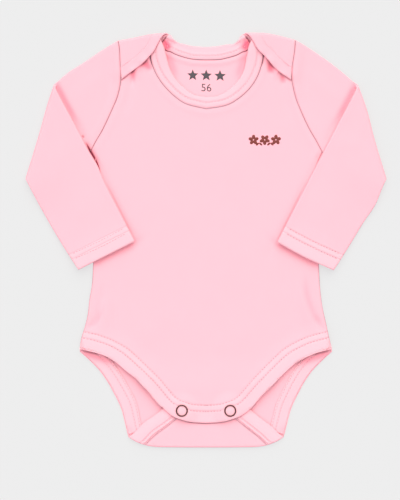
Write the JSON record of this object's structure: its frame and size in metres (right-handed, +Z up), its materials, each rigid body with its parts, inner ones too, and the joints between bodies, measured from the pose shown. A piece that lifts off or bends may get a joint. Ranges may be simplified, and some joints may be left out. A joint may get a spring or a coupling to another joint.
{
  "type": "baby bodysuit laid flat",
  "caption": "Long-sleeved baby bodysuit with an envelope neck, lying flat on its back, sleeves folded over the front, snapped at the crotch.",
  "frame": {"origin": "centre of the bodysuit's outline, on the surface that it lies on", "axes": "+Y from the crotch to the neck, +X to the viewer's right seen from the front, +Z up out of the surface, from the back to the front"},
  "size_m": [0.3236, 0.3728, 0.0076],
  "materials": {
    "cotton_interlock": "soft matt cotton knit, pale pink",
    "neck_binding": "the same cotton knit, folded double and cover-stitched",
    "snap_metal": "dark satin metal"
  },
  "bodies": {
    "root": {"back_panel": "cotton_interlock", "front_panel": "cotton_interlock", "sleeve_left": "cotton_interlock", "sleeve_right": "cotton_interlock", "neck_band_back": "neck_binding", "neck_band_front": "neck_binding", "snap_cap_left": "snap_metal", "snap_cap_right": "snap_metal", "snap_socket_left": "snap_metal", "snap_socket_right": "snap_metal", "snap_stud_left": "snap_metal", "snap_stud_right": "snap_metal", "snap_ring_left": "snap_metal", "snap_ring_right": "snap_metal"}
  },
  "joints": []
}
